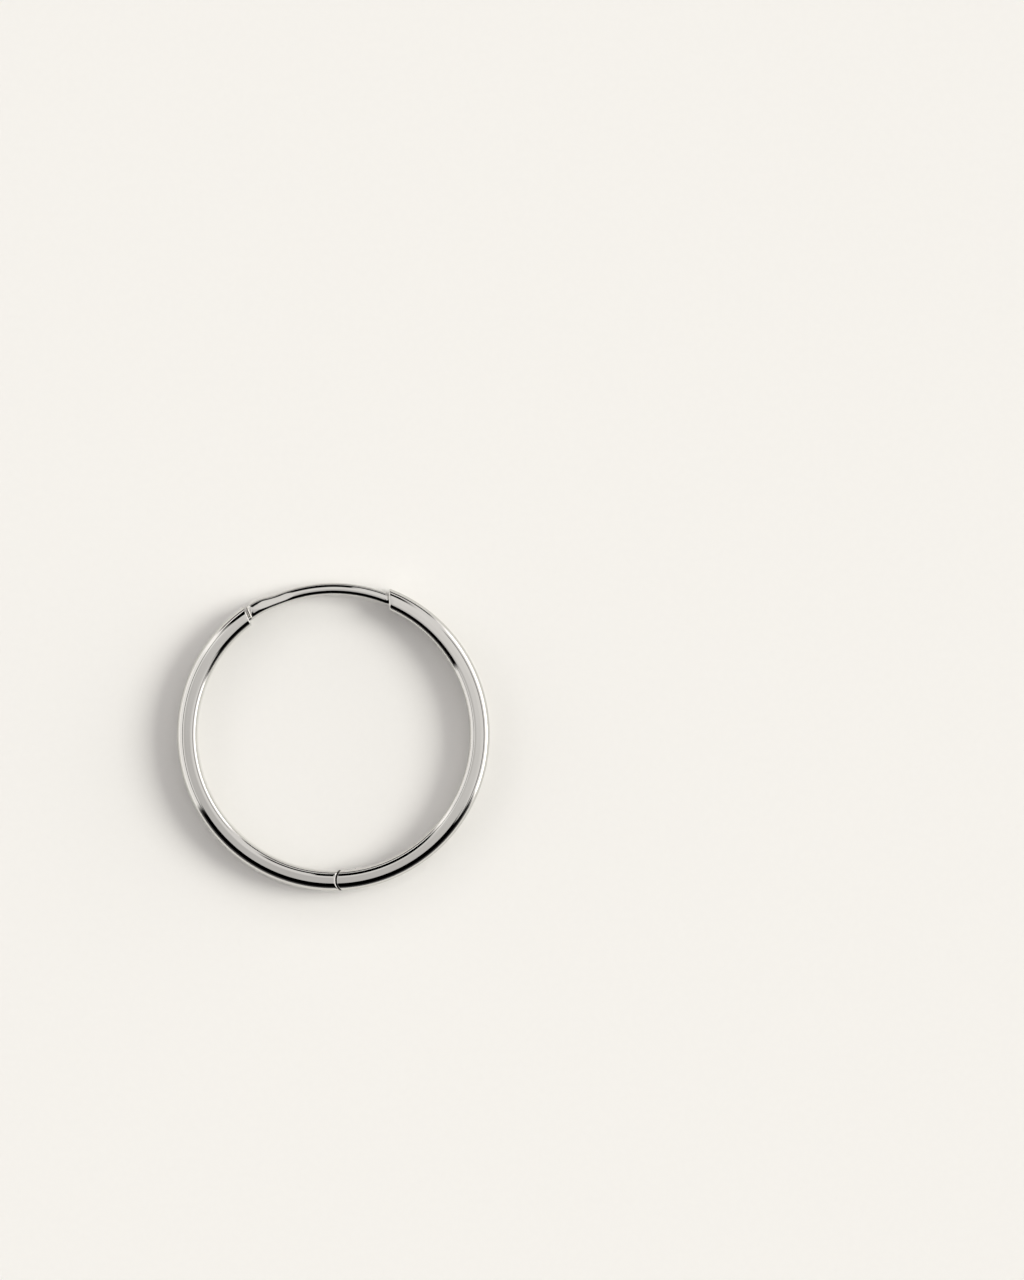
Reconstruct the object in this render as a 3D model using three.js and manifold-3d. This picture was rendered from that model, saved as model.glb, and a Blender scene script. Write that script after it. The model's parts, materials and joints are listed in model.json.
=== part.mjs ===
// Slim hinged hoop earring with a click post, closed and lying on its side
// Millimetres and degrees. The hoop's own axis is Z, and the post closes the top (+Y).
import * as THREE from 'three';
import { mergeVertices } from 'three/addons/utils/BufferGeometryUtils.js';
import Module from 'manifold-3d';

// Bar of the hoop
const outerDiameter = 20;
const radialThickness = 1.28;
const barWidth = 2;
const outerEdgeRound = 0.5;
const innerEdgeRound = 0.27;

// Hinge at the bottom
const hingeLineX = 0.24;       // crown of the curved line between the halves, right of the middle
const hingeArcRadius = 0.9;    // the line's radius about the pin
const hingeGap = 0.04;         // between the two halves' curved ends
const tongueWidth = 0.66;
const tongueOverhang = 0.06;   // how much the tongue's round nose reaches past half the bar
const tongueSideGap = 0.04;
const pinDiameter = 0.5;
const pinPressGap = 0.02;      // round the pin in the cheeks
const pinRunningGap = 0.03;    // round the pin in the tongue
const cheekSkin = 0.26;        // metal left over each end of the pin
const pinEndGap = 0.04;

// Post and its socket at the top
const postDiameter = 0.76;
const postInset = 0.05;        // the wire's middle lies this much inside the bar's middle
const tipDiameter = 0.66;      // past the notch
const tipRoundLength = 0.34;
const tipBluntShare = 0.3;     // of the tip's diameter, left flat at the very end
const mouthX = 3.56;           // the upright cut where the socket opens
const bite = 1.46;             // length of post inside the socket
const notchFromMouth = 0.16;   // middle of the notch, outside the mouth
const notchLength = 0.4;
const notchDepth = 0.18;
const socketGap = 0.05;
const socketEndGap = 0.16;

// Root of the post on the back half
const backEndAngle = 125.9;    // the end of the back half's bar, from +X
const backEndLean = 12;        // that end leans over the groove
const grooveLength = 0.47;     // along the bar's middle, from that end to the root's shoulder
const rootThickness = 0.96;
const rootWidth = 1.4;
const rootTaper = 1.9;
const rootInset = 0.06;        // the shoulder's outer side, inside the bar's
const rootSquareness = 5;      // power of the shoulder's section, where 2 is an ellipse
const neckThickness = 0.38;
const neckWidth = 1;
const neckInset = 0.14;        // the neck's inner side, outside the bar's
const neckLap = 0.3;           // how far the neck is soldered into each side
const neckSquareness = 4;

// Facets
const turnSteps = 96;
const edgeSteps = 2;
const lineSteps = 12;
const wireSides = 16;
const wireSteps = 16;
const rootSteps = 6;
const neckSteps = 4;
const tipSteps = 4;
const pinSides = 24;
const weldDistance = 1e-5;     // vertices this close are one
const seamGrid = 1e6;          // grid steps per unit that a section's seam is rounded to

const silver = { color: 0xc8c6c1, metalness: 1, roughness: 0.1 };
const steel = { color: 0xb4b3b0, metalness: 1, roughness: 0.3 };

// Places worked out from the sizes
const outerRadius = outerDiameter / 2;
const innerRadius = outerRadius - radialThickness;
const middleRadius = outerRadius - radialThickness / 2;
const middleZ = barWidth / 2;
const reach = outerDiameter;
const rad = THREE.MathUtils.degToRad;
const turnOf = (length, radius) => length / radius;
const snapped = (value) => Math.round(value * seamGrid) / seamGrid;
const pinX = hingeLineX + hingeArcRadius;
const pinY = -Math.sqrt(middleRadius ** 2 - pinX ** 2);
const tongueRadius = radialThickness / 2 + tongueOverhang;
const postRadius = middleRadius - postInset;
const mouthAngle = Math.acos(mouthX / postRadius);
const tipAngle = mouthAngle - turnOf(bite, postRadius);
const notchAngle = mouthAngle + turnOf(notchFromMouth, postRadius);
const backEnd = rad(backEndAngle);
const shoulderAngle = backEnd - turnOf(grooveLength, middleRadius);

const wasm = await Module();
wasm.setup();

// A closed three.js geometry as a solid that can be cut
function solid(geometry) {
  const bare = geometry.clone();
  bare.deleteAttribute('normal');
  bare.deleteAttribute('uv');
  const merged = mergeVertices(bare, weldDistance);
  const vertProperties = Float32Array.from(merged.attributes.position.array);
  const triVerts = Uint32Array.from(merged.index.array);
  return new wasm.Manifold(new wasm.Mesh({ numProp: 3, vertProperties, triVerts }));
}

// A cut solid as a named mesh
function piece(name, body, look) {
  const { vertProperties, triVerts } = body.getMesh();
  const geometry = new THREE.BufferGeometry();
  geometry.setAttribute('position', new THREE.BufferAttribute(vertProperties, 3));
  geometry.setIndex(new THREE.BufferAttribute(triVerts, 1));
  geometry.computeVertexNormals();
  const mesh = new THREE.Mesh(geometry, new THREE.MeshStandardMaterial(look));
  mesh.name = name;
  return mesh;
}

// An outline in XY as a solid from one height to another
function prism(outline, low, high) {
  const geometry = new THREE.ExtrudeGeometry(outline, {
    depth: high - low,
    bevelEnabled: false,
    curveSegments: lineSteps,
  });
  return solid(geometry.translate(0, 0, low));
}

function uprightRod(diameter, low, high) {
  const geometry = new THREE.CylinderGeometry(diameter / 2, diameter / 2, high - low, pinSides);
  geometry.rotateX(Math.PI / 2);
  return solid(geometry.translate(pinX, pinY, (low + high) / 2));
}

// The whole ring: a rounded rectangle turned about Z
function ring() {
  const section = new THREE.Shape();
  const out = outerEdgeRound;
  const inn = innerEdgeRound;
  section.moveTo(innerRadius + inn, 0);
  section.lineTo(outerRadius - out, 0);
  section.absarc(outerRadius - out, out, out, -Math.PI / 2, 0);
  section.lineTo(outerRadius, barWidth - out);
  section.absarc(outerRadius - out, barWidth - out, out, 0, Math.PI / 2);
  section.lineTo(innerRadius + inn, barWidth);
  section.absarc(innerRadius + inn, barWidth - inn, inn, Math.PI / 2, Math.PI);
  section.lineTo(innerRadius, inn);
  section.absarc(innerRadius + inn, inn, inn, Math.PI, Math.PI * 1.5);
  const points = section.getPoints(edgeSteps);
  points[points.length - 1] = points[0].clone();
  const geometry = new THREE.LatheGeometry(points, turnSteps);
  return solid(geometry.rotateX(Math.PI / 2));
}

// The curved hinge line, drawn from the inside of the hoop to the outside
function hingeLine(outline, radius) {
  outline.lineTo(pinX, pinY + radius);
  outline.absarc(pinX, pinY, radius, Math.PI / 2, Math.PI * 1.5);
  outline.lineTo(pinX, -reach);
}

// All that lies left of the front half
function leftOfFront() {
  const outline = new THREE.Shape();
  outline.moveTo(mouthX, reach);
  outline.lineTo(mouthX, 0);
  hingeLine(outline, hingeArcRadius);
  outline.lineTo(-reach, -reach);
  outline.lineTo(-reach, reach);
  return prism(outline, -barWidth, 2 * barWidth);
}

// All that lies right of the back half, with the leaning end at the top
function rightOfBack() {
  const lean = backEnd - rad(backEndLean);
  const endX = middleRadius * Math.cos(backEnd);
  const endY = middleRadius * Math.sin(backEnd);
  const outline = new THREE.Shape();
  outline.moveTo(endX + reach * Math.cos(lean), endY + reach * Math.sin(lean));
  outline.lineTo(endX - radialThickness * Math.cos(lean), endY - radialThickness * Math.sin(lean));
  outline.lineTo(0, 0);
  hingeLine(outline, hingeArcRadius + hingeGap);
  outline.lineTo(reach, -reach);
  outline.lineTo(reach, reach);
  return prism(outline, -barWidth, 2 * barWidth);
}

// The flat tongue round the pin, as long as the back half's end needs
function tongue() {
  const outline = new THREE.Shape();
  const left = pinX - hingeArcRadius - radialThickness;
  outline.moveTo(left, pinY + radialThickness);
  outline.lineTo(pinX, pinY + radialThickness);
  outline.lineTo(pinX, pinY + tongueRadius);
  outline.absarc(pinX, pinY, tongueRadius, Math.PI / 2, -Math.PI / 2, true);
  outline.lineTo(pinX, pinY - radialThickness);
  outline.lineTo(left, pinY - radialThickness);
  return prism(outline, middleZ - tongueWidth / 2, middleZ + tongueWidth / 2);
}

// The slot between the front half's cheeks, which the tongue turns in
function tongueSlot() {
  const outline = new THREE.Shape();
  const right = pinX + tongueRadius + hingeGap;
  const left = pinX - hingeArcRadius - radialThickness;
  outline.moveTo(left, pinY + radialThickness);
  outline.lineTo(right, pinY + radialThickness);
  outline.lineTo(right, pinY - radialThickness);
  outline.lineTo(left, pinY - radialThickness);
  const half = tongueWidth / 2 + tongueSideGap;
  return prism(outline, middleZ - half, middleZ + half);
}

// A bar bent round the hoop's centre, through stations that each give an angle,
// the middle's radius, half the size each way and the squareness of the section
function bentBar(stations) {
  const geometry = new THREE.CylinderGeometry(1, 1, 1, wireSides, stations.length - 1);
  const place = geometry.attributes.position;
  for (let i = 0; i < place.count; i += 1) {
    const at = stations[Math.round((0.5 - place.getY(i)) * (stations.length - 1))];
    const power = 2 / at.squareness;
    const across = snapped(place.getX(i));
    const along = snapped(place.getZ(i));
    const radius = at.middle + at.halfThick * Math.sign(across) * Math.abs(across) ** power;
    const height = middleZ + at.halfWide * Math.sign(along) * Math.abs(along) ** power;
    place.setXYZ(i, radius * Math.cos(at.angle), radius * Math.sin(at.angle), height);
  }
  return solid(geometry);
}

function roundStation(angle, half) {
  return { angle, middle: postRadius, halfThick: half, halfWide: half, squareness: 2 };
}

// The root's block easing into round wire
function rootStations() {
  const rootMiddle = outerRadius - rootInset - rootThickness / 2;
  const stations = [];
  for (let step = 0; step <= rootSteps; step += 1) {
    const share = step / rootSteps;
    const ease = THREE.MathUtils.smoothstep(share, 0, 1);
    stations.push({
      angle: shoulderAngle - turnOf(rootTaper * share, postRadius),
      middle: THREE.MathUtils.lerp(rootMiddle, postRadius, ease),
      halfThick: THREE.MathUtils.lerp(rootThickness, postDiameter, ease) / 2,
      halfWide: THREE.MathUtils.lerp(rootWidth, postDiameter, ease) / 2,
      squareness: THREE.MathUtils.lerp(rootSquareness, 2, ease),
    });
  }
  return stations;
}

// The wire up to the notch, and the thinner tip with its rounded end
function wireStations() {
  const start = shoulderAngle - turnOf(rootTaper, postRadius);
  const stations = [];
  for (let step = 1; step <= wireSteps; step += 1) {
    const angle = THREE.MathUtils.lerp(start, notchAngle, step / wireSteps);
    stations.push(roundStation(angle, postDiameter / 2));
  }
  stations.push(roundStation(notchAngle - turnOf(notchLength / 2, postRadius), tipDiameter / 2));
  const blunt = Math.acos(tipBluntShare);
  for (let step = 0; step <= tipSteps; step += 1) {
    const swing = (blunt * step) / tipSteps;
    const past = tipRoundLength * (1 - Math.sin(swing) / Math.sin(blunt));
    stations.push(roundStation(tipAngle + turnOf(past, postRadius), (tipDiameter / 2) * Math.cos(swing)));
  }
  return stations;
}

// The notch across the outer side of the post
function notch() {
  const floor = postRadius + postDiameter / 2 - notchDepth;
  const box = new THREE.BoxGeometry(radialThickness, notchLength, barWidth);
  box.translate(floor + radialThickness / 2, 0, middleZ);
  return solid(box.rotateZ(notchAngle));
}

// The bar that joins the root to the back half under the groove
function neck() {
  const middle = innerRadius + neckInset + neckThickness / 2;
  const lap = turnOf(neckLap, middle);
  const halfThick = neckThickness / 2;
  const halfWide = neckWidth / 2;
  const stations = [];
  for (let step = 0; step <= neckSteps; step += 1) {
    const angle = THREE.MathUtils.lerp(backEnd + lap, shoulderAngle - lap, step / neckSteps);
    stations.push({ angle, middle, halfThick, halfWide, squareness: neckSquareness });
  }
  return bentBar(stations);
}

// The post's channel in the front half, open at the mouth and on the inner side,
// because the tip swings inward as the hoop opens
function socket() {
  const half = postDiameter / 2 + socketGap;
  const mouth = mouthAngle + turnOf(radialThickness, postRadius);
  const end = tipAngle - turnOf(socketEndGap, postRadius);
  const stations = [];
  for (let step = 0; step <= lineSteps; step += 1) {
    stations.push(roundStation(THREE.MathUtils.lerp(mouth, end, step / lineSteps), half));
  }
  const outline = new THREE.Shape();
  const within = innerRadius - radialThickness;
  outline.moveTo(within * Math.cos(mouth), within * Math.sin(mouth));
  outline.lineTo(postRadius * Math.cos(mouth), postRadius * Math.sin(mouth));
  outline.absarc(0, 0, postRadius, mouth, end, true);
  outline.lineTo(within * Math.cos(end), within * Math.sin(end));
  return bentBar(stations).add(prism(outline, middleZ - half, middleZ + half));
}

function backHalf() {
  const bar = ring().subtract(rightOfBack().subtract(tongue()));
  const bored = bar.subtract(uprightRod(pinDiameter + 2 * pinRunningGap, -barWidth, 2 * barWidth));
  const post = bentBar([...rootStations(), ...wireStations()]).subtract(notch());
  return bored.add(neck()).add(post);
}

function frontHalf() {
  const bar = ring().subtract(leftOfFront()).subtract(tongueSlot());
  const bore = uprightRod(pinDiameter + 2 * pinPressGap, cheekSkin, barWidth - cheekSkin);
  return bar.subtract(bore).subtract(socket());
}

function hingePin() {
  return uprightRod(pinDiameter, cheekSkin + pinEndGap, barWidth - cheekSkin - pinEndGap);
}

const hoop = new THREE.Group();
hoop.add(piece('back_half', backHalf(), silver));
hoop.add(piece('front_half', frontHalf(), silver));
hoop.add(piece('hinge_pin', hingePin(), steel));

// The origin is the middle of the closed hoop, on the surface that it lies on
const around = new THREE.Box3().setFromObject(hoop);
const middle = around.getCenter(new THREE.Vector3());
hoop.position.set(-middle.x, -middle.y, -around.min.z);
hoop.updateMatrixWorld(true);

export default hoop;
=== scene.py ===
# Slim hinged click hoop in mirror-polished rhodium silver, lying on its side on a pale board.
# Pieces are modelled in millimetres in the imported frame's own place, and then brought to metres.
import json
import math

import bmesh
import bpy
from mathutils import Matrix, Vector


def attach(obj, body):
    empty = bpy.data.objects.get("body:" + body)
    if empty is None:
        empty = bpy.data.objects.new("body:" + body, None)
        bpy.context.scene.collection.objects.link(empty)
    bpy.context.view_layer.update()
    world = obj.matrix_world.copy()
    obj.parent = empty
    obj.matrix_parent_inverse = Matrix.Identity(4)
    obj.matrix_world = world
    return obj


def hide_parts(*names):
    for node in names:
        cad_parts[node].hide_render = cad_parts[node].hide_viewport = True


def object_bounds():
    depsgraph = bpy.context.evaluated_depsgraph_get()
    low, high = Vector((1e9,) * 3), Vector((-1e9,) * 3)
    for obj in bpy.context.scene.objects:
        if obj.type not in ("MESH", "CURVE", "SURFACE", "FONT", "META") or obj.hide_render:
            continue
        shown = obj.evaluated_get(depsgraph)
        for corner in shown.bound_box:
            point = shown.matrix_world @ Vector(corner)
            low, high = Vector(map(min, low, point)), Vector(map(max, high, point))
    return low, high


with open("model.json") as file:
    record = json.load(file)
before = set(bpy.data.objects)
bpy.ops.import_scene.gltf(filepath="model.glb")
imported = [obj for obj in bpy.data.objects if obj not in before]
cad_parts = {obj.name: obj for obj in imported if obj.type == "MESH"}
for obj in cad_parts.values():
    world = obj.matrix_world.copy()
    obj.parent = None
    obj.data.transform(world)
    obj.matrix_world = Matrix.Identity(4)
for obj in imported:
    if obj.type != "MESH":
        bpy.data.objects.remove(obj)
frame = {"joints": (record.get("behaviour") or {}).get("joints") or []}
LOW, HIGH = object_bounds()

# The bar, from the frame's box
MM = 1000.0
OUTER = (HIGH.x - LOW.x) * MM / 2          # radius
WIDTH = (HIGH.z - LOW.z) * MM
CENTRE = Vector(((LOW.x + HIGH.x) * MM / 2, LOW.y * MM + OUTER, WIDTH / 2))
THICKNESS = 1.28
INNER = OUTER - THICKNESS
MIDDLE = OUTER - THICKNESS / 2
OUTER_EDGE = 0.5                           # rounding of the outer edges
INNER_EDGE = 0.36
MOUTH_RIM = 0.13                           # polished-over edges where the halves end
GROOVE_RIM = 0.07
BACK_HINGE_RIM = 0.13
FRONT_HINGE_RIM = 0.025
ROW_TURN = math.radians(1.0)               # one row of faces round the hoop
FINE_EDGE = 14                             # faces across the outer rounding
COARSE_EDGE = 8                            # faces across the inner rounding
FLAT_STEPS = 4                             # faces across a flat side
CAP_INSET = 0.15                           # ring of faces inside an end's rim
RIM_STEPS = 5
SPECK = 0.0005                             # points this close after a cut are one
SAME_ROW = ROW_TURN / 4                    # points within this turn of a row stand in it
SMOOTH_BELOW = math.radians(28)            # faces that meet at less are shaded as one
ROUND = 2                                  # squareness of a round section
FRONT_ROWS = (math.radians(-86.7), math.radians(66))      # first and last row before they are seated
BACK_ROWS = (math.radians(126.5), math.radians(271.1))

# The hinge
PIN = Vector(frame["joints"][0]["pos_m"]) * MM
PIN_DIAMETER = 0.5
PRESS_GAP = 0.02
RUNNING_GAP = 0.03
ARC = 0.9
HINGE_GAP = 0.085
TONGUE_WIDTH = 0.66
TONGUE_OVERHANG = 0.06
TONGUE_NOSE = THICKNESS / 2 + TONGUE_OVERHANG
NOSE_GAP = 0.04
SIDE_GAP = 0.04
SKIN = 0.26                                # metal over each end of the pin
FLUSH = 0.004                              # keeps the tongue's walls just inside the bar's
TONGUE_ROWS = (math.radians(268.5), math.radians(279.5))
NOSE_STEPS = 16
PIN_SIDES = 64

# The post, its root and its socket
POST_DIAMETER = 0.76
POST_INSET = 0.05
POST_RADIUS = MIDDLE - POST_INSET
TIP_DIAMETER = 0.66
TIP_ROUND = 0.34
TIP_BLUNT = 0.3
MOUTH_X = 3.56
BITE = 1.46
NOTCH_FROM_MOUTH = 0.16
NOTCH_LENGTH = 0.4
NOTCH_DEPTH = 0.18
SOCKET_GAP = 0.05
SOCKET_END_GAP = 0.16
BACK_END = math.radians(125.9)
BACK_LEAN = math.radians(12)
GROOVE = 0.47
ROOT_THICKNESS = 0.96
ROOT_WIDTH = 1.4
ROOT_TAPER = 2.1                           # length over which it thins
ROOT_LOWERING = 3.1                        # length over which its height comes down to the wire's
ROOT_ROUNDING = 4.2                        # length over which the block turns round
ROOT_INSET = 0.06
ROOT_SQUARENESS = 4
KNUCKLE = 0.33                             # rounding of the root's block towards the groove
KNUCKLE_THICKNESS = 0.84
KNUCKLE_STEPS = 10
NECK_THICKNESS = 0.38
NECK_WIDTH = 1.0
NECK_INSET = 0.26
NECK_LAP = 0.2
NECK_SQUARENESS = 4
WIRE_SQUARENESS = 3.2                      # the drawn wire is a little flattened on four sides
WIRE_SIDES = 40
WIRE_STEPS = 40
ROOT_STEPS = 34
TIP_STEPS = 10
NECK_STEPS = 8

# Colours of the finishes, and how many times each pattern repeats in a metre
SILVER_DULL = (0.645, 0.64, 0.615, 1)
SILVER_BRIGHT = (0.685, 0.68, 0.66, 1)
SILVER_SWELLS = 420.0
SILVER_HAZE = 2600.0
SILVER_ROUGHNESS = (0.02, 0.055)
SILVER_SCRATCHES = (9000.0, 900.0, 2500.0)
SCRATCH_TURN = (0.2, 0.1, 0.6)
PAINTED_HINGE_SHADE = (0.035, 0.027, 0.022, 1)         # painted shade, nearly black, in the hinge line between the halves
HINGE_SHADE_LAP = 0.012                        # how far it laps over the front half's edge
HINGE_SHADE_FADE = 0.005
HINGE_SHADE_FULL = 0.6                         # all of it up to here from the bar's middle height
HINGE_SHADE_END = 0.9                          # and none from here
HINGE_SHADE_LEFT = -0.2                        # all of it left of here, measured from the pin
HINGE_SHADE_RIGHT = -0.1                       # and none right of here
HINGE_SHADE_DULLS = 0.5                        # what it adds to the roughness
STEEL_DARK = (0.50, 0.49, 0.47, 1)
STEEL_LIGHT = (0.66, 0.65, 0.63, 1)
STEEL_LINES = (14000.0, 14000.0, 600.0)
STEEL_ROUGHNESS = (0.24, 0.36)
BOARD_DARK = (0.89, 0.88, 0.86, 1)
BOARD_LIGHT = (0.91, 0.90, 0.88, 1)
BOARD_TOOTH = 2400.0

# The camera: its lens and sensor in millimetres, the eye's place in metres
LENS = 145.4
SENSOR = 36.0
EYE_RIGHT = 0.01142                        # of the hoop's axis
EYE_UP = 0.00603
EYE_HEIGHT = 0.332
NEAREST = 0.01
FARTHEST = 10.0

# The light all round, by its tilt from straight up and its turn from +X. Fades are in radians
BOARD_SIZE = 2.0
WARM_WHITE = (1.0, 0.97, 0.95)
OVERHEAD_LEFT = 0.67                       # brightness straight above, seen by the two sides
OVERHEAD_RIGHT = 0.95
OVERHEAD_SLANT = 1.6                       # the two sides part where x + this * y is nought
OVERHEAD_FROM = -0.12
OVERHEAD_TO = 0.02
LEFT_LIFT = 0.46                           # added on the left
LEFT_FROM = -0.4
LEFT_TO = -0.12
HORIZON = 1.4
HORIZON_FROM = math.radians(72)
HORIZON_TO = math.radians(80)
GLOW = 1.5                                 # soft light low at +X, as the metal shows it
GLOW_TURN = math.radians(8)
GLOW_HALF = math.radians(30)
GLOW_TOP = math.radians(56)
GLOW_SIDE_FADE = 0.15
GLOW_TOP_FADE = 0.1
GAP_TURN = -math.pi / 2                    # the dark gap towards -Y
GAP_NARROW = math.radians(44)              # half its width, high up
GAP_WIDE = math.radians(65)                # and low down
GAP_WIDE_AT = math.radians(64)
GAP_LEFT = math.radians(59.5)              # half its width on the left, at any height
GAP_SIDES = 0.05                           # left and right pass into each other within this of x = 0
GAP_FROM = math.radians(7.5)
GAP_TO = math.radians(86)
GAP_SIDE_FADE = 0.07
GAP_END_FADE = 0.03
GAP_LIGHTENS = math.radians(52)            # from here down it is less dark
GAP_LOW_SHARE = 0.8
FAR_TURN = math.radians(101)               # a dark gap on the far side, taller on its left
FAR_HALF = math.radians(35)
FAR_RIGHT = math.radians(84)               # its right part ends here
FAR_LEFT = math.radians(95)                # and its left part begins
FAR_FROM = math.radians(26)
FAR_FROM_LEFT = math.radians(9)
FAR_TO = math.radians(50)
FAR_TO_LEFT = math.radians(54)
FAR_SIDE_FADE = 0.15
FAR_END_FADE = 0.04
EDGE_TURN = math.radians(95)               # the board's dark far edge
EDGE_HALF = math.radians(42)
EDGE_FROM = math.radians(68)
EDGE_TO = math.radians(86)
EDGE_SIDE_FADE = 0.1
EDGE_END_FADE = 0.04
EDGE_SHARE = 0.97
SEAM_FROM = math.radians(27)               # the dark seam round the overhead panel
SEAM_TO = math.radians(36)
SEAM_FADE = 0.02
SEAM_SHARE = 0.8
SEAM_BREAK = math.radians(62)              # where the seam is covered
BREAK_HALF = 0.26
BREAK_END = 0.38

# The two soft lights
SUN_TURN = math.radians(10)
SUN_RISE = math.radians(37)
SUN_SIZE = math.radians(28)
SUN_POWER = 1.75
SUN_COLOUR = (1.0, 1.0, 0.935)
FILL_SIZE = math.radians(120)
FILL_POWER = 0.4

MOUTH_ANGLE = math.acos(MOUTH_X / POST_RADIUS)
TIP_ANGLE = MOUTH_ANGLE - BITE / POST_RADIUS
NOTCH_ANGLE = MOUTH_ANGLE + NOTCH_FROM_MOUTH / POST_RADIUS
SHOULDER = BACK_END - GROOVE / MIDDLE


def at(angle, radius, height=0.0):
    """A point by its turn from +X and its distance from the hoop's axis."""
    return Vector((CENTRE.x + radius * math.cos(angle), CENTRE.y + radius * math.sin(angle), height))


# Handling of objects
def alone(piece):
    bpy.ops.object.select_all(action="DESELECT")
    piece.select_set(True)
    bpy.context.view_layer.objects.active = piece


def added(name):
    piece = bpy.context.object
    piece.name = name
    piece.data.name = name
    return piece


def edit(piece):
    alone(piece)
    bpy.ops.object.mode_set(mode="EDIT")
    bpy.ops.mesh.select_all(action="DESELECT")
    return bmesh.from_edit_mesh(piece.data)


def done():
    bpy.ops.object.mode_set(mode="OBJECT")


def apply_all(piece):
    alone(piece)
    for modifier in list(piece.modifiers):
        bpy.ops.object.modifier_apply(modifier=modifier.name)


def cut(piece, tool, how="DIFFERENCE"):
    """Cuts or joins with another solid, which is then gone."""
    modifier = piece.modifiers.new(how.lower(), "BOOLEAN")
    modifier.operation = how
    modifier.solver = "EXACT"
    modifier.object = tool
    apply_all(piece)
    bpy.data.objects.remove(tool)


def finish(piece, body, node, material):
    """Cleans the mesh, sets smooth shading and the finish, and puts the piece on its body in metres."""
    edit(piece)
    bpy.ops.mesh.select_all(action="SELECT")
    bpy.ops.mesh.remove_doubles(threshold=SPECK)
    bpy.ops.mesh.dissolve_degenerate(threshold=SPECK)
    done()
    bpy.ops.object.shade_smooth_by_angle(angle=SMOOTH_BELOW)
    weighted = piece.modifiers.new("weighted", "WEIGHTED_NORMAL")
    weighted.keep_sharp = True
    apply_all(piece)
    bpy.ops.transform.resize(value=(1 / MM, 1 / MM, 1 / MM), center_override=(0, 0, 0))
    bpy.ops.object.transform_apply(location=True, rotation=True, scale=True)
    piece.data.materials.clear()
    piece.data.materials.append(material)
    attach(piece, body)
    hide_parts(node)


# Shapes in a section's own terms
def radius_of(point):
    return (point - CENTRE).xy.length


def off_turn(point, turn):
    """How far a point lies from a turn about the hoop's axis, in radians."""
    here = math.atan2(point.y - CENTRE.y, point.x - CENTRE.x)
    return abs((here - turn + math.pi) % (2 * math.pi) - math.pi)


def done_outwards(piece):
    """Ends an edit with every face pointing out."""
    bmesh.from_edit_mesh(piece.data).normal_update()
    bmesh.update_edit_mesh(piece.data)
    bpy.ops.mesh.select_all(action="SELECT")
    bpy.ops.mesh.normals_make_consistent(inside=False)
    done()


def pick(piece, parts):
    """Selects these parts, and nothing is deselected that they share."""
    for part in parts:
        part.select = True
    bmesh.update_edit_mesh(piece.data)


def standing_plane(name, turn, near, far, wide):
    """A rectangle that stands on the hoop's radius, about the bar's middle height."""
    bpy.ops.object.select_all(action="DESELECT")
    spot = at(turn, (near + far) / 2, WIDTH / 2)
    bpy.ops.mesh.primitive_plane_add(size=1, location=spot, rotation=(math.pi / 2, 0, turn))
    piece = added(name)
    piece.scale = (far - near, wide, 1)
    bpy.ops.object.transform_apply(location=True, rotation=True, scale=True)
    return piece


def bar_section(name, turn):
    """The bar's rounded rectangle, rounder outside than inside."""
    piece = standing_plane(name, turn, INNER, OUTER, WIDTH)
    for outside, offset, steps in ((True, OUTER_EDGE, FINE_EDGE), (False, INNER_EDGE, COARSE_EDGE)):
        mesh = edit(piece)
        corners = [v for v in mesh.verts if min(v.co.z, WIDTH - v.co.z) < FLUSH]
        pick(piece, [v for v in corners if (radius_of(v.co) > MIDDLE) == outside])
        bpy.ops.mesh.bevel(offset=offset, segments=steps, affect="VERTICES", profile=0.5)
        done()
    cut_flats(piece, FLAT_STEPS)
    return piece


def cut_flats(piece, steps):
    """Divides the two sides of a section that will lie flat."""
    mesh = edit(piece)
    level = [e for e in mesh.edges if abs(e.verts[0].co.z - e.verts[1].co.z) < FLUSH / 2]
    longest = max(e.calc_length() for e in level)
    pick(piece, [e for e in level if e.calc_length() > longest / 2])
    bpy.ops.mesh.subdivide(number_cuts=steps - 1)
    bpy.ops.mesh.select_all(action="SELECT")
    bpy.ops.mesh.dissolve_faces()
    done()


def spin(piece, rows):
    """Turns the section about the hoop's axis from the first row to the last."""
    steps = max(2, round((rows[1] - rows[0]) / ROW_TURN))
    edit(piece)
    bpy.ops.mesh.select_all(action="SELECT")
    bpy.ops.mesh.spin(steps=steps, angle=rows[0] - rows[1], center=CENTRE, axis=(0, 0, 1))
    done_outwards(piece)


# Surfaces that the bar's ends are laid on, each giving the turn for a radius
def mouth_plane(radius):
    return math.acos(MOUTH_X / radius)


def leaning_plane(radius):
    along = MIDDLE * math.cos(BACK_LEAN)
    step = math.sqrt(along ** 2 + radius ** 2 - MIDDLE ** 2) - along
    lean = BACK_END - BACK_LEAN
    point = at(BACK_END, MIDDLE) + step * Vector((math.cos(lean), math.sin(lean), 0))
    return math.atan2(point.y - CENTRE.y, point.x - CENTRE.x)


def about_pin(distance, side):
    """The cylinder about the pin, on its left (-1) or its right (1)."""
    pin_turn = math.atan2(PIN.y - CENTRE.y, PIN.x - CENTRE.x)
    pin_radius = radius_of(PIN)

    def surface(radius):
        cosine = (radius ** 2 + pin_radius ** 2 - distance ** 2) / (2 * radius * pin_radius)
        return pin_turn + side * math.acos(min(1, cosine))

    return surface


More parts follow.
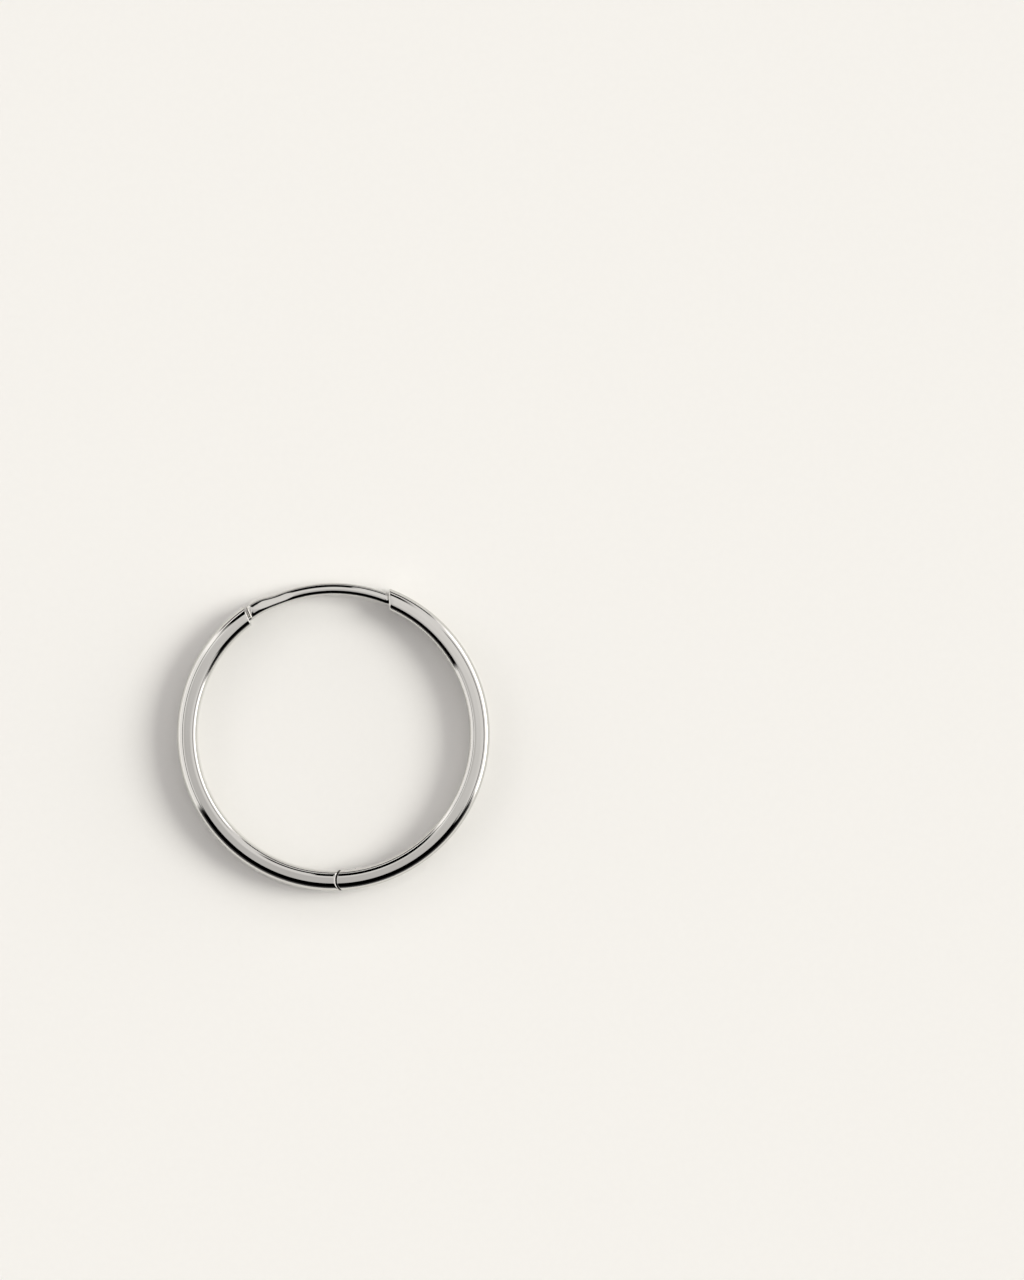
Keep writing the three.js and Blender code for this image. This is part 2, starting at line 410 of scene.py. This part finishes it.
def strips(mesh, cap):
    """Fills a curved end with strips that run across the bar."""
    upper = sorted((v for v in cap.verts if v.co.z > WIDTH / 2), key=lambda v: radius_of(v.co))
    lower = sorted((v for v in cap.verts if v.co.z < WIDTH / 2), key=lambda v: radius_of(v.co))
    bmesh.ops.delete(mesh, geom=[cap], context="FACES_ONLY")
    for row in range(len(upper) - 1):
        mesh.faces.new((upper[row], upper[row + 1], lower[row + 1], lower[row]))


def seat_end(piece, turn, surface, rim, curved=False):
    """Lays the end at this turn on its surface, and polishes over its rim."""
    mesh = edit(piece)
    pick(piece, [f for f in mesh.faces if all(off_turn(v.co, turn) < SAME_ROW for v in f.verts)])
    bpy.ops.mesh.inset(thickness=CAP_INSET)
    mesh = bmesh.from_edit_mesh(piece.data)
    cap = next(f for f in mesh.faces if f.select)
    ends = [v for v in mesh.verts if off_turn(v.co, turn) < SAME_ROW]
    border = set(ends) - set(cap.verts)
    for vert in ends:
        radius = radius_of(vert.co)
        vert.co.xy = at(surface(radius), radius).xy
    if curved:
        strips(mesh, cap)
    mesh.normal_update()
    bmesh.update_edit_mesh(piece.data)
    bpy.ops.mesh.select_all(action="DESELECT")
    pick(piece, [e for e in mesh.edges if e.verts[0] in border and e.verts[1] in border])
    bpy.ops.mesh.bevel(offset=rim, segments=RIM_STEPS, affect="EDGES", profile=0.5, clamp_overlap=False)
    done_outwards(piece)


# Bars bent round the hoop through stations
def station(turn, middle, half_thick, half_wide, squareness=ROUND, lean=0.0):
    return {"turn": turn, "middle": middle, "thick": half_thick, "wide": half_wide,
            "power": 2 / squareness, "lean": lean}


def bent_bar(name, stations):
    """A round prism with a ring of vertices for each station, laid along the hoop."""
    bpy.ops.object.select_all(action="DESELECT")
    bpy.ops.mesh.primitive_circle_add(vertices=WIRE_SIDES, radius=1, fill_type="NGON")
    piece = added(name)
    edit(piece)
    bpy.ops.mesh.select_all(action="SELECT")
    bpy.ops.mesh.extrude_repeat(steps=len(stations) - 1, offset=(0, 0, 1))
    mesh = bmesh.from_edit_mesh(piece.data)
    for vert in mesh.verts:
        here = stations[round(vert.co.z)]
        across = math.copysign(abs(vert.co.x) ** here["power"], vert.co.x)
        upward = math.copysign(abs(vert.co.y) ** here["power"], vert.co.y)
        off_middle = here["thick"] * across
        radius = here["middle"] + off_middle
        turn = here["turn"] - here["lean"] * off_middle / radius
        vert.co = at(turn, radius, WIDTH / 2 + here["wide"] * upward)
    done_outwards(piece)
    return piece


def lerp(a, b, share):
    return a + (b - a) * share


def ease(share):
    """Eases in and out without a kink in the curvature, which a mirror finish would show."""
    return share ** 3 * (share * (share * 6 - 15) + 10)


def wire_station(turn, half, squareness=WIRE_SQUARENESS):
    return station(turn, POST_RADIUS, half, half, squareness)


def post_stations():
    """The root's block, the wire, the thinner tip and its rounded end."""
    root_middle = OUTER - ROOT_INSET - ROOT_THICKNESS / 2
    rows = []
    for step in range(KNUCKLE_STEPS):
        swing = math.pi / 2 * step / KNUCKLE_STEPS
        rows.append(station(
            SHOULDER + KNUCKLE * math.cos(swing) / POST_RADIUS,
            root_middle,
            lerp(KNUCKLE_THICKNESS, ROOT_THICKNESS, math.sin(swing)) / 2,
            lerp(NECK_WIDTH, ROOT_WIDTH, math.sin(swing)) / 2,
            ROOT_SQUARENESS,
            math.tan(BACK_LEAN),
        ))
    for step in range(ROOT_STEPS + 1):
        along = ROOT_ROUNDING * step / ROOT_STEPS
        eased = ease(min(1, along / ROOT_TAPER))
        rows.append(station(
            SHOULDER - along / POST_RADIUS,
            lerp(root_middle, POST_RADIUS, eased),
            lerp(ROOT_THICKNESS, POST_DIAMETER, eased) / 2,
            lerp(ROOT_WIDTH, POST_DIAMETER, ease(min(1, along / ROOT_LOWERING))) / 2,
            lerp(ROOT_SQUARENESS, WIRE_SQUARENESS, ease(step / ROOT_STEPS)),
            lerp(math.tan(BACK_LEAN), 0, eased),
        ))
    start = SHOULDER - ROOT_ROUNDING / POST_RADIUS
    for step in range(1, WIRE_STEPS + 1):
        rows.append(wire_station(lerp(start, NOTCH_ANGLE, step / WIRE_STEPS), POST_DIAMETER / 2))
    rows.append(wire_station(NOTCH_ANGLE - NOTCH_LENGTH / 2 / POST_RADIUS, TIP_DIAMETER / 2))
    blunt = math.acos(TIP_BLUNT)
    for step in range(TIP_STEPS + 1):
        swing = blunt * step / TIP_STEPS
        past = TIP_ROUND * (1 - math.sin(swing) / math.sin(blunt))
        half = TIP_DIAMETER / 2 * math.cos(swing)
        squareness = lerp(WIRE_SQUARENESS, ROUND, step / TIP_STEPS)
        rows.append(wire_station(TIP_ANGLE + past / POST_RADIUS, half, squareness))
    return rows


# Tools that cut or bore
def block(name, low, high):
    bpy.ops.object.select_all(action="DESELECT")
    bpy.ops.mesh.primitive_cube_add(size=1, location=(Vector(low) + Vector(high)) / 2)
    piece = added(name)
    piece.scale = Vector(high) - Vector(low)
    bpy.ops.object.transform_apply(location=True, rotation=True, scale=True)
    return piece


def rod(name, radius, low, high):
    bpy.ops.object.select_all(action="DESELECT")
    spot = (PIN.x, PIN.y, (low + high) / 2)
    bpy.ops.mesh.primitive_cylinder_add(vertices=PIN_SIDES, radius=radius, depth=high - low, location=spot)
    piece = added(name)
    bpy.ops.object.transform_apply(location=True, rotation=True, scale=True)
    return piece


def socket_tools():
    """The round channel that the post lies in, and its way out on the inner side."""
    half = POST_DIAMETER / 2 + SOCKET_GAP
    mouth = MOUTH_ANGLE + THICKNESS / POST_RADIUS
    end = TIP_ANGLE - SOCKET_END_GAP / POST_RADIUS
    steps = round((mouth - end) / ROW_TURN)
    rows = [wire_station(lerp(mouth, end, step / steps), half, ROUND) for step in range(steps + 1)]
    channel = standing_plane("channel", end, INNER - THICKNESS, POST_RADIUS, 2 * half)
    spin(channel, (end, mouth))
    return bent_bar("bore", rows), channel


def notch_tool():
    floor = POST_RADIUS + POST_DIAMETER / 2 - NOTCH_DEPTH
    tool = block("notch", (floor, -NOTCH_LENGTH / 2, 0), (floor + THICKNESS, NOTCH_LENGTH / 2, WIDTH))
    tool.rotation_euler.z = NOTCH_ANGLE
    tool.location = (CENTRE.x, CENTRE.y, 0)
    alone(tool)
    bpy.ops.object.transform_apply(location=True, rotation=True, scale=True)
    return tool


# The two halves
def front_half():
    piece = bar_section("front_half_polished", FRONT_ROWS[0])
    spin(piece, FRONT_ROWS)
    seat_end(piece, FRONT_ROWS[0], about_pin(ARC, -1), FRONT_HINGE_RIM, curved=True)
    seat_end(piece, FRONT_ROWS[1], mouth_plane, MOUTH_RIM)
    low = WIDTH / 2 - TONGUE_WIDTH / 2 - SIDE_GAP
    high = WIDTH - low
    left = PIN.x - ARC - THICKNESS
    slot = block("slot", (left, PIN.y - THICKNESS, low), (PIN.x, PIN.y + THICKNESS, high))
    cut(slot, rod("slot_end", TONGUE_NOSE + NOSE_GAP, low, high), "UNION")
    cut(piece, slot)
    cut(piece, rod("pin_bore", PIN_DIAMETER / 2 + PRESS_GAP, SKIN, WIDTH - SKIN))
    for tool in socket_tools():
        cut(piece, tool)
    return piece


def tongue():
    piece = standing_plane("tongue", TONGUE_ROWS[0], INNER + FLUSH, OUTER - FLUSH, TONGUE_WIDTH)
    cut_flats(piece, NOSE_STEPS)
    spin(piece, TONGUE_ROWS)
    mesh = edit(piece)
    nose = about_pin(TONGUE_NOSE, 1)

    def nose_end(face):
        return off_turn(face.calc_center_median(), TONGUE_ROWS[1]) < 3 * ROW_TURN

    for vert in mesh.verts:
        if off_turn(vert.co, TONGUE_ROWS[1]) < SAME_ROW:
            radius = radius_of(vert.co)
            vert.co.xy = at(nose(radius), radius).xy
    strips(mesh, next(f for f in mesh.faces if len(f.verts) > 4 and nose_end(f)))
    done_outwards(piece)
    return piece


def neck():
    middle = INNER + NECK_INSET + NECK_THICKNESS / 2
    lap = NECK_LAP / middle
    rows = []
    for step in range(NECK_STEPS + 1):
        turn = lerp(BACK_END + lap, SHOULDER - lap, step / NECK_STEPS)
        rows.append(station(turn, middle, NECK_THICKNESS / 2, NECK_WIDTH / 2, NECK_SQUARENESS))
    return bent_bar("neck", rows)


def back_half():
    piece = bar_section("back_half_polished", BACK_ROWS[0])
    spin(piece, BACK_ROWS)
    seat_end(piece, BACK_ROWS[0], leaning_plane, GROOVE_RIM)
    seat_end(piece, BACK_ROWS[1], about_pin(ARC + HINGE_GAP, -1), BACK_HINGE_RIM, curved=True)
    cut(piece, tongue(), "UNION")
    cut(piece, rod("tongue_bore", PIN_DIAMETER / 2 + RUNNING_GAP, -WIDTH, 2 * WIDTH))
    post = bent_bar("post", post_stations())
    cut(post, notch_tool())
    cut(piece, neck(), "UNION")
    cut(piece, post, "UNION")
    return piece


# Finishes
def new_material(name):
    """A new material with its tree, its surface and the place on the object, in metres."""
    material = bpy.data.materials.new(name)
    material.use_nodes = True
    tree = material.node_tree
    place = add_node(tree, "ShaderNodeTexCoord").outputs["Object"]
    return material, tree, tree.nodes["Principled BSDF"].inputs, place


def feed(tree, socket, value):
    """Gives an input a value, or the socket that feeds it."""
    if isinstance(value, bpy.types.NodeSocket):
        tree.links.new(value, socket)
    else:
        socket.default_value = value


def add_node(tree, kind, settings=None, **inputs):
    made = tree.nodes.new(kind)
    for name, value in (settings or {}).items():
        setattr(made, name, value)
    for name, value in inputs.items():
        feed(tree, made.inputs[name.replace("_", " ")], value)
    return made


def calc(tree, operation, *values):
    made = add_node(tree, "ShaderNodeMath", {"operation": operation})
    for socket, value in zip(made.inputs, values):
        feed(tree, socket, value)
    return made.outputs[0]


def times(tree, first, second):
    return calc(tree, "MULTIPLY", first, second)


def ramp(tree, value, low, high, start=0.0, end=1.0):
    """Eases from start to end as the value goes from low to high."""
    made = add_node(tree, "ShaderNodeMapRange", {"interpolation_type": "SMOOTHSTEP"}, Value=value,
                    From_Min=low, From_Max=high, To_Min=start, To_Max=end)
    return made.outputs[0]


def window(tree, value, low, high, soft):
    """One between low and high, and nothing outside."""
    return times(tree, ramp(tree, value, low - soft, low), ramp(tree, value, high, high + soft, 1, 0))


def grain(tree, place, scale, detail=2.0):
    return add_node(tree, "ShaderNodeTexNoise", Vector=place, Scale=scale, Detail=detail).outputs[0]


def mapped(tree, place, **inputs):
    return add_node(tree, "ShaderNodeMapping", Vector=place, **inputs).outputs[0]


def bump(tree, height, strength, distance, **inputs):
    made = add_node(tree, "ShaderNodeBump", Strength=strength, Distance=distance, Height=height, **inputs)
    return made.outputs[0]


def blend(tree, share, first, second):
    """Mixes two colours."""
    made = add_node(tree, "ShaderNodeMix", {"data_type": "RGBA"}, Factor=share)
    feed(tree, made.inputs[6], first)
    feed(tree, made.inputs[7], second)
    return made.outputs[2]


def painted_hinge_shade(tree, place):
    """How much painted shade lies at a place: one in the hinge line beside the tongue, darkening the gap
    between the halves.
    """
    about_the_pin = mapped(tree, place, Location=tuple(-c / MM for c in PIN))
    across, up, height = add_node(tree, "ShaderNodeSeparateXYZ", Vector=about_the_pin).outputs
    reach = calc(tree, "SQRT", calc(tree, "ADD", times(tree, across, across), times(tree, up, up)))
    in_gap = window(tree, reach, (ARC - HINGE_SHADE_LAP) / MM, (ARC + HINGE_GAP) / MM, HINGE_SHADE_FADE / MM)
    off_middle = calc(tree, "ABSOLUTE", calc(tree, "SUBTRACT", height, (WIDTH / 2 - PIN.z) / MM))
    deep = ramp(tree, off_middle, HINGE_SHADE_FULL / MM, HINGE_SHADE_END / MM, 1, 0)
    on_left = ramp(tree, across, HINGE_SHADE_LEFT / MM, HINGE_SHADE_RIGHT / MM, 1, 0)
    return times(tree, times(tree, in_gap, on_left), deep)


def polished_silver():
    """Rhodium over silver off the polishing wheel: bright, with a faint swirl of fine scratches."""
    material, tree, surface, place = new_material("polished_rhodium_silver")
    swells = grain(tree, place, SILVER_SWELLS)
    # painted shade: darkens and dulls the hinge line, standing in for the shade in the gap between the
    # halves
    hinge_shade = painted_hinge_shade(tree, place)
    clean = blend(tree, swells, SILVER_DULL, SILVER_BRIGHT)
    feed(tree, surface["Base Color"], blend(tree, hinge_shade, clean, PAINTED_HINGE_SHADE))
    surface["Metallic"].default_value = 1.0
    haze = ramp(tree, grain(tree, place, SILVER_HAZE, 4.0), 0.3, 0.75, *SILVER_ROUGHNESS)
    feed(tree, surface["Roughness"], calc(tree, "ADD", haze, times(tree, hinge_shade, HINGE_SHADE_DULLS)))
    stretched = mapped(tree, place, Scale=SILVER_SCRATCHES, Rotation=SCRATCH_TURN)
    scratches = grain(tree, stretched, 1.0, 3.0)
    swelling = bump(tree, swells, 0.04, 0.00003)
    feed(tree, surface["Normal"], bump(tree, scratches, 0.03, 0.000002, Normal=swelling))
    return material


def drawn_steel():
    """The hinge pin: drawn wire, cut to length, with its drawing lines along it."""
    material, tree, surface, place = new_material("drawn_steel_pin")
    lines = grain(tree, mapped(tree, place, Scale=STEEL_LINES), 1.0, 3.0)
    feed(tree, surface["Base Color"], blend(tree, lines, STEEL_DARK, STEEL_LIGHT))
    surface["Metallic"].default_value = 1.0
    feed(tree, surface["Roughness"], ramp(tree, lines, 0.3, 0.7, *STEEL_ROUGHNESS))
    feed(tree, surface["Normal"], bump(tree, lines, 0.2, 0.000005))
    return material


def pale_board():
    """A matt off-white board with a very fine tooth."""
    material, tree, surface, place = new_material("pale_board")
    tooth = grain(tree, place, BOARD_TOOTH, 3.0)
    feed(tree, surface["Base Color"], blend(tree, tooth, BOARD_DARK, BOARD_LIGHT))
    surface["Roughness"].default_value = 0.9
    surface["Specular IOR Level"].default_value = 0.1
    return material


# The studio
def away(tree, turn, middle):
    """How far a turn is from a middle one, in radians either way."""
    offset = calc(tree, "SUBTRACT", turn, middle)
    return calc(tree, "ABSOLUTE", calc(tree, "WRAP", offset, math.pi, -math.pi))


def within(tree, turn, middle, half, fade):
    """One where a turn lies within half a width of its middle, and nothing outside."""
    return ramp(tree, away(tree, turn, middle), half, half + fade, 1, 0)


def overhead(tree, x, y, tilt):
    """The light without its gaps: darker above, brighter at the left and low down."""
    slant = calc(tree, "ADD", x, times(tree, y, OVERHEAD_SLANT))
    level = ramp(tree, slant, OVERHEAD_FROM, OVERHEAD_TO, OVERHEAD_LEFT, OVERHEAD_RIGHT)
    level = calc(tree, "ADD", level, ramp(tree, x, LEFT_FROM, LEFT_TO, LEFT_LIFT, 0))
    low_down = times(tree, ramp(tree, tilt, HORIZON_FROM, HORIZON_TO), HORIZON)
    return calc(tree, "MAXIMUM", level, low_down)


def near_gap(tree, x, tilt, turn):
    """The gap towards -Y, which draws the dark bands on the sides that face it."""
    spread = ramp(tree, tilt, GAP_FROM, GAP_WIDE_AT, GAP_NARROW, GAP_WIDE)
    spread = ramp(tree, x, -GAP_SIDES, GAP_SIDES, GAP_LEFT, spread)
    beyond = calc(tree, "SUBTRACT", away(tree, turn, GAP_TURN), spread)
    gap = times(tree, ramp(tree, beyond, 0, GAP_SIDE_FADE, 1, 0),
                window(tree, tilt, GAP_FROM, GAP_TO, GAP_END_FADE))
    return times(tree, gap, ramp(tree, tilt, GAP_LIGHTENS, GAP_TO, 1, GAP_LOW_SHARE))


def far_gap(tree, tilt, turn):
    """The gap towards +Y, which draws the fine dark lines on the sides that face it."""
    top = ramp(tree, turn, FAR_RIGHT, FAR_LEFT, FAR_FROM, FAR_FROM_LEFT)
    foot = ramp(tree, turn, FAR_RIGHT, FAR_LEFT, FAR_TO, FAR_TO_LEFT)
    gap = times(tree, within(tree, turn, FAR_TURN, FAR_HALF, FAR_SIDE_FADE),
                ramp(tree, calc(tree, "SUBTRACT", tilt, top), -FAR_END_FADE, 0))
    return times(tree, gap, ramp(tree, calc(tree, "SUBTRACT", tilt, foot), 0, FAR_END_FADE, 1, 0))


def sky():
    """Pale light from all round, with dark gaps that draw the metal's edges and a glow at +X."""
    world = bpy.data.worlds.new("studio")
    bpy.context.scene.world = world
    world.use_nodes = True
    tree = world.node_tree
    way = add_node(tree, "ShaderNodeTexCoord").outputs["Generated"]
    x, y, z = add_node(tree, "ShaderNodeSeparateXYZ", Vector=way).outputs
    tilt = calc(tree, "ARCCOSINE", z)
    turn = calc(tree, "ARCTAN2", y, x)

    gaps = calc(tree, "MAXIMUM", near_gap(tree, x, tilt, turn), far_gap(tree, tilt, turn))
    edge = times(tree, within(tree, turn, EDGE_TURN, EDGE_HALF, EDGE_SIDE_FADE),
                 window(tree, tilt, EDGE_FROM, EDGE_TO, EDGE_END_FADE))
    uncovered = ramp(tree, away(tree, turn, SEAM_BREAK), BREAK_HALF, BREAK_END, 0, SEAM_SHARE)
    seam = times(tree, window(tree, tilt, SEAM_FROM, SEAM_TO, SEAM_FADE), uncovered)
    lines = calc(tree, "MAXIMUM", times(tree, edge, EDGE_SHARE), seam)
    left_over = calc(tree, "SUBTRACT", 1.0, calc(tree, "MAXIMUM", gaps, lines))
    level = times(tree, overhead(tree, x, y, tilt), left_over)

    glow = times(tree, within(tree, turn, GLOW_TURN, GLOW_HALF, GLOW_SIDE_FADE),
                 ramp(tree, tilt, GLOW_TOP, GLOW_TOP + GLOW_TOP_FADE))
    level = calc(tree, "ADD", level, times(tree, glow, GLOW))
    shine = tree.nodes["Background"].inputs
    shine["Color"].default_value = (*WARM_WHITE, 1)
    feed(tree, shine["Strength"], level)


def soft_light(name, power, size, rise, turn, colour):
    """A far soft light that the board shows and the metal doesn't mirror a second time."""
    data = bpy.data.lights.new(name, "SUN")
    data.energy = power
    data.angle = size
    data.color = colour
    light = bpy.data.objects.new(name, data)
    light.rotation_euler = (0, math.pi / 2 - rise, turn)
    light.visible_glossy = False
    bpy.context.scene.collection.objects.link(light)


def board(material):
    bpy.ops.object.select_all(action="DESELECT")
    bpy.ops.mesh.primitive_plane_add(size=BOARD_SIZE, location=(0, 0, 0))
    piece = added("board")
    piece.data.materials.append(material)


def camera():
    """Straight overhead, with the hoop in the lower left of the frame."""
    data = bpy.data.cameras.new("camera")
    data.sensor_width = SENSOR
    data.lens = LENS
    data.clip_start = NEAREST
    data.clip_end = FARTHEST
    eye = bpy.data.objects.new("camera", data)
    eye.location = (CENTRE.x / MM + EYE_RIGHT, CENTRE.y / MM + EYE_UP, EYE_HEIGHT)
    bpy.context.scene.collection.objects.link(eye)
    bpy.context.scene.camera = eye


# Making it all
camera()
sky()
soft_light("soft_key", SUN_POWER, SUN_SIZE, SUN_RISE, SUN_TURN, SUN_COLOUR)
soft_light("soft_fill", FILL_POWER, FILL_SIZE, math.pi / 2, 0, WARM_WHITE)
board(pale_board())
bpy.context.scene.view_settings.view_transform = "Standard"

silver = polished_silver()
finish(front_half(), "front", "front_half", silver)
finish(back_half(), "back", "back_half", silver)

pin = bpy.data.objects["hinge_pin"]
steel = drawn_steel()
for slot in pin.material_slots:
    slot.material = steel
